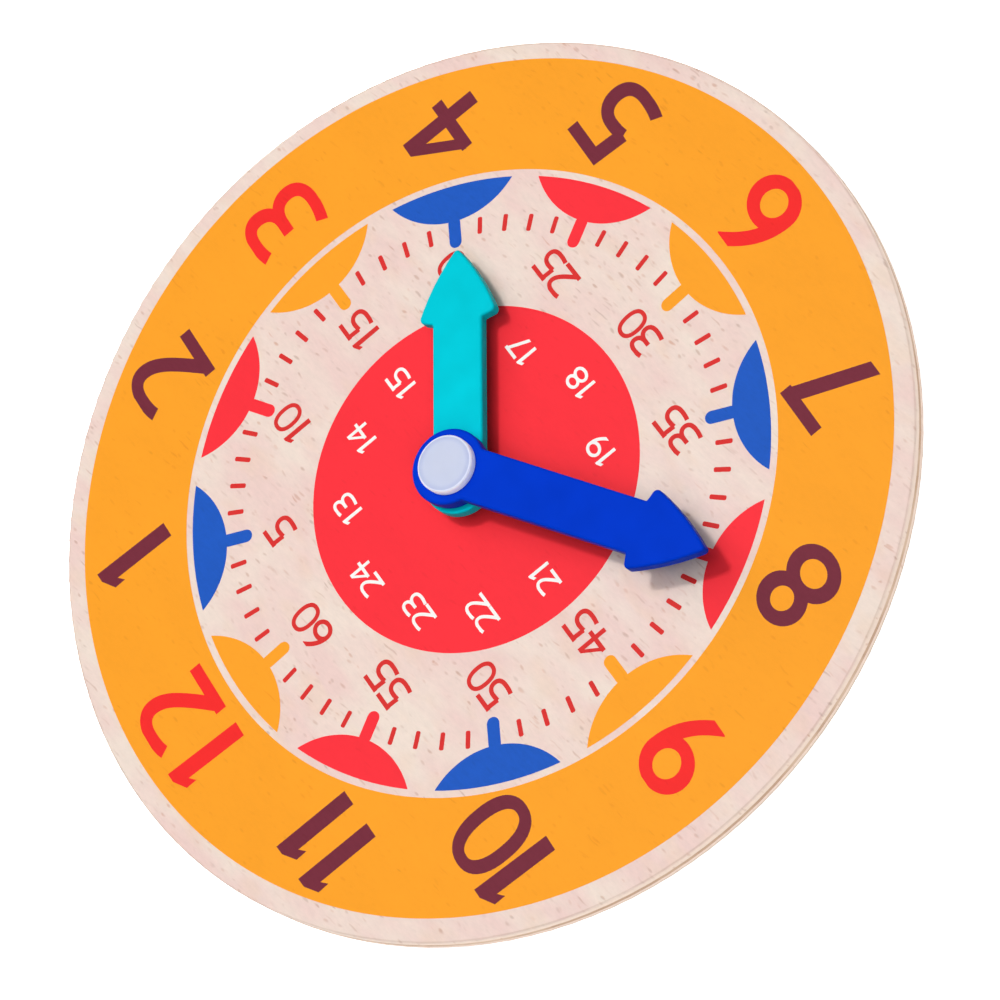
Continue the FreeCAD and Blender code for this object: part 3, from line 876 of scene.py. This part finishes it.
def mouldedHand(node):
    hand = hands[node]
    shape = handShape
    low, high = (corner.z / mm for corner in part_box(node))
    armBottom = low + hand["drop"]
    outline = handOutline(hand)
    bottom = roundedEdge(outline, armBottom, shape["bottomRound"], shape["bottomSteps"])
    top = roundedEdge(outline, high, -shape["topRound"], shape["topSteps"])[::-1]
    verts, faces = [], []
    starts = stackLoops(bottom + top, verts, faces)
    hole = arcPoints(Vector((0, 0)), shape["bore"], 0, 2 * math.pi, shape["boreSteps"])[:-1]
    holeStarts = stackLoops([(hole, high), (hole, low)], verts, faces)
    flatBetween(top[-1][0], hole, starts[-1], holeStarts[0], faces, True)
    if hand["drop"]:  # the boss goes on down below the arm
        centre = Vector((-hand["setBack"], 0))
        foot = arcPoints(centre, hand["boss"] - shape["footInset"], 0, 2 * math.pi, shape["footSteps"])[:-1]
        footStarts = stackLoops([(foot, low), (foot, armBottom)], verts, faces)
        flatBetween(bottom[0][0], foot, starts[0], footStarts[1], faces, False)
        flatBetween(foot, hole, footStarts[0], holeStarts[1], faces, False)
    else:
        flatBetween(bottom[0][0], hole, starts[0], holeStarts[1], faces, False)
    turn = Matrix.Rotation(math.radians(90 - hand["clockAngle"]), 3, "Z")
    piece = addPiece(hand["piece"], [turn @ Vector(v) for v in verts], faces, mouldedAbs(*hand["finish"]))
    smoothed(piece, shape["sharpAngle"])
    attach(piece, node)
    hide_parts(node)


for node in hands:
    mouldedHand(node)
print("hands: two mouldings on their bodies")


studio = {
    "floorSize": 6.0,  # m
    "floorTone": "F4F4F4", "fibreTone": 0.985, "fibreSize": 3,  # mm, drawn coarse to show
    "floorGlow": 0.75,  # keeps the paper white beside the board
    "horizon": 0.06,  # brightness of the walls round the table
    "zenith": 0.03,  # and of the ceiling
    "cornice": (0.35, 0.75),  # heights that one fades to the other between, 1 being overhead
    "panels": {  # watts, width in m, then azimuth from +X and elevation in degrees
        "keyPanel": (8.0, 0.15, -4.0, 82.6),
        "softPanel": (7.3, 1.25, 20.0, 85.0),
        "frontWindow": (7.8, 1.0, 178.0, 60.0),
        "backPanel": (4.3, 1.0, 15.0, 45.0),
    },
    "panelDistance": 1.5,  # m
    "unmirrored": ("softPanel", "backPanel"),  # kept out of glossy reflections
}


# Mat white paper, lit faintly from itself: an even white that takes a soft shadow
def paperFloor():
    material, tree = newMaterial("matWhitePaper")
    place = addNode(tree, "ShaderNodeTexCoord").outputs["Object"]
    fibres = addNode(tree, "ShaderNodeTexNoise", inputs={
        "Vector": place, "Scale": 1 / (studio["fibreSize"] * mm), "Detail": 2})
    colour = addNode(tree, "ShaderNodeMix", asColour, {
        "Factor": fibres, "A": linear(studio["floorTone"]),
        "B": linear(studio["floorTone"], studio["fibreTone"])})
    finished(material, None, 0, {
        "Base Color": colour, "Roughness": 0.9, "Specular IOR Level": 0,
        "Emission Color": linear("FFFFFF"), "Emission Strength": studio["floorGlow"]})
    half = studio["floorSize"] / 2 / mm
    corners = [(x * half, y * half, 0) for x, y in squareCorners]
    addPiece("floor", corners, [(0, 1, 2, 3)], material)


def direction(azimuth, elevation):  # degrees from +X and above the floor
    az, el = math.radians(azimuth), math.radians(elevation)
    return Vector((math.cos(el) * math.cos(az), math.cos(el) * math.sin(az), math.sin(el)))


def aimed(name, data, place, back, roll=0):  # a lamp or camera at that place, looking away from back
    item = bpy.data.objects.new(name, data)
    item.location = place
    item.rotation_mode = "QUATERNION"
    item.rotation_quaternion = (-back).to_track_quat("-Z", "Y") @ Quaternion((0, 0, 1), math.radians(roll))
    scene.collection.objects.link(item)
    return item


def studioLight():
    world = bpy.data.worlds.new("paleRoom")
    scene.world = world
    world.use_nodes = True
    tree = world.node_tree
    sky = addNode(tree, "ShaderNodeSeparateXYZ", inputs={
        0: addNode(tree, "ShaderNodeTexCoord").outputs["Generated"]})
    fade = addNode(tree, "ShaderNodeMapRange", inputs={
        "Value": sky.outputs["Z"], "From Min": studio["cornice"][0], "From Max": studio["cornice"][1],
        "To Min": studio["horizon"], "To Max": studio["zenith"]})
    tree.links.new(fade.outputs["Result"], tree.nodes["Background"].inputs["Strength"])
    tree.nodes["Background"].inputs["Color"].default_value = linear("FFFFFF")
    for name, (power, width, azimuth, elevation) in studio["panels"].items():
        toward = direction(azimuth, elevation)
        lamp = bpy.data.lights.new(name, "AREA")
        lamp.energy = power
        lamp.size = width
        panel = aimed(name, lamp, toward * studio["panelDistance"], toward)
        panel.visible_glossy = name not in studio["unmirrored"]


view = {
    "aim": (-8.27, -2.73, 5.0),  # mm, where the middle of the frame meets the dial
    "azimuth": -163.77,  # degrees from +X
    "elevation": 57.66,
    "roll": -55.57,
    "distance": 1107.0,  # mm
    "lens": 176.02,  # mm
    "sensor": 36,  # mm across
}


def setCamera():
    back = direction(view["azimuth"], view["elevation"])
    data = bpy.data.cameras.new("camera")
    data.lens = view["lens"]
    data.sensor_width = view["sensor"]
    place = (Vector(view["aim"]) + back * view["distance"]) * mm
    scene.camera = aimed("camera", data, place, back, view["roll"])


paperFloor()
studioLight()
setCamera()
scene.view_settings.view_transform = "Standard"
print("studio: floor, lights and camera set")
